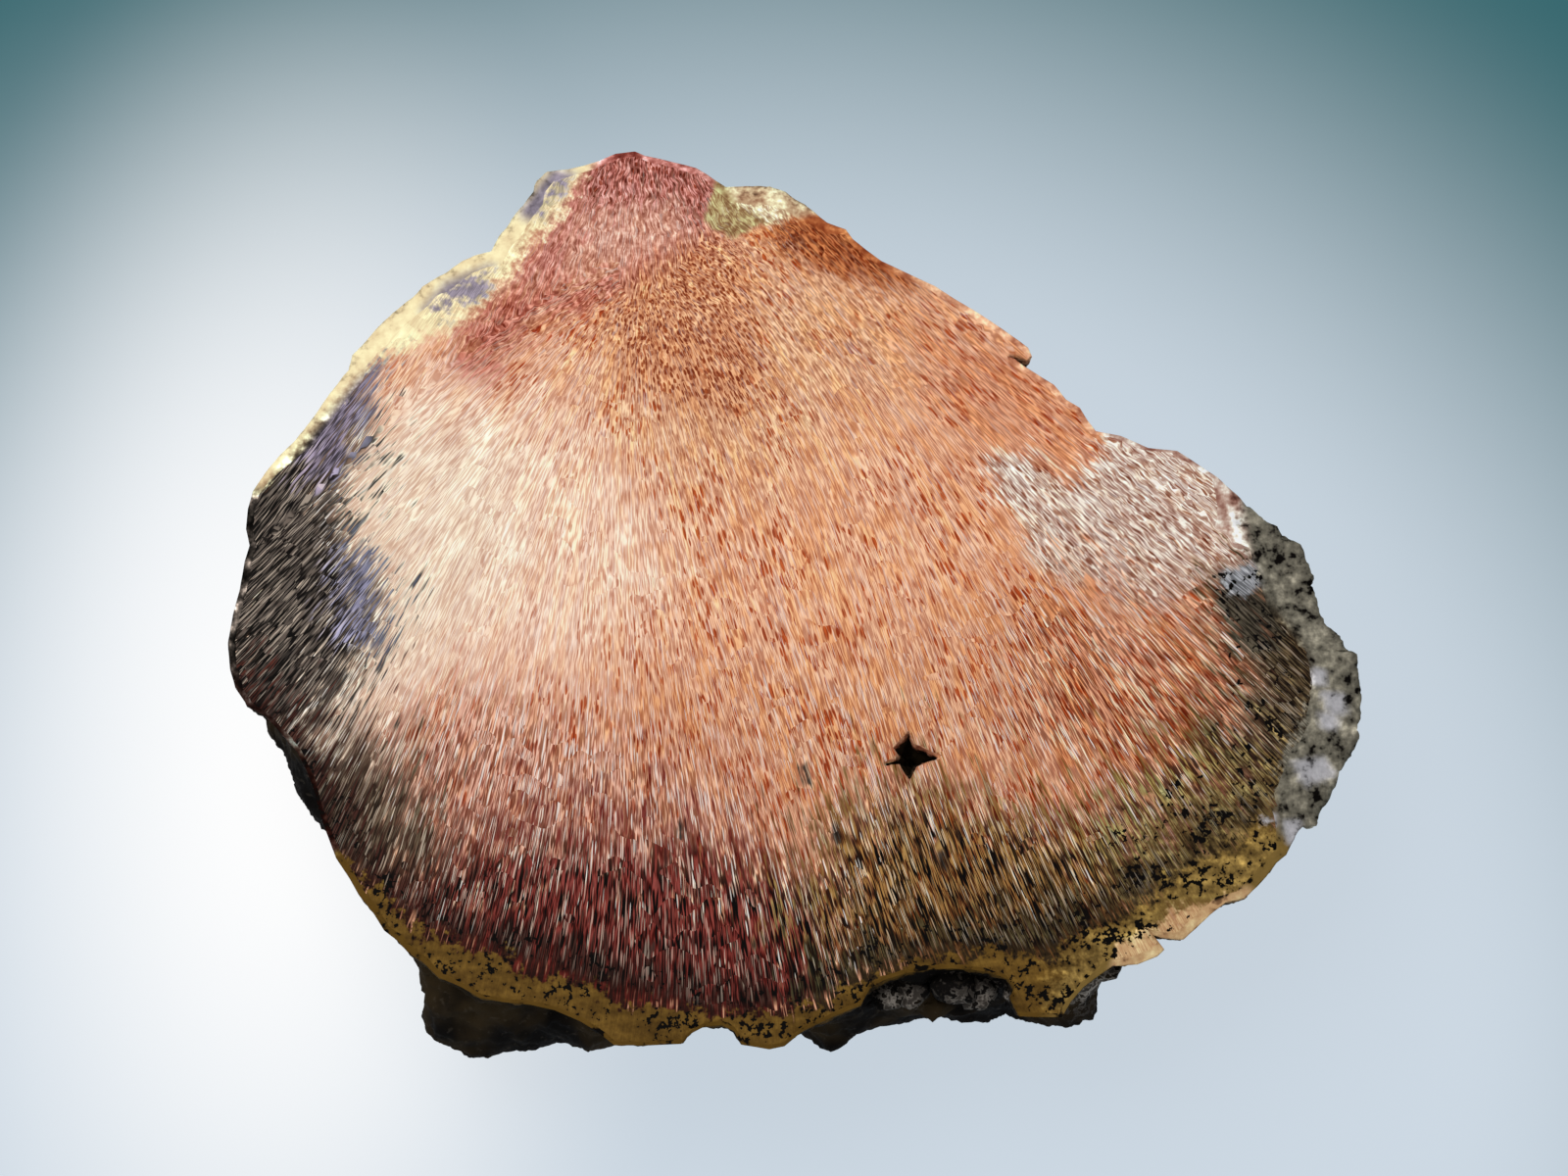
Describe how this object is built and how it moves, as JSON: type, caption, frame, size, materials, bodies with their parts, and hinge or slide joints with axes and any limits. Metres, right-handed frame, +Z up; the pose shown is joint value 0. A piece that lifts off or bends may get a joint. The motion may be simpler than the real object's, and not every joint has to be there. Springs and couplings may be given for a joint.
{
  "type": "yuksporite specimen",
  "caption": "Hand-sized slab of fibrous yuksporite with one flat polished face of radiating salmon fibres and rough broken sides.",
  "frame": {"origin": "middle of the specimen's bounding box in plan, on the flat sawn back that it rests on", "axes": "+Z up out of the polished face, +Y towards the crimson tip, +X towards the rough grey margin"},
  "size_m": [0.1446, 0.1172, 0.032],
  "materials": {
    "yuksporite": "polished fibrous face in salmon, cream and maroon with an ochre and olive rim; rough dark broken sides"
  },
  "bodies": {
    "root": {"stone": "yuksporite"}
  },
  "joints": []
}
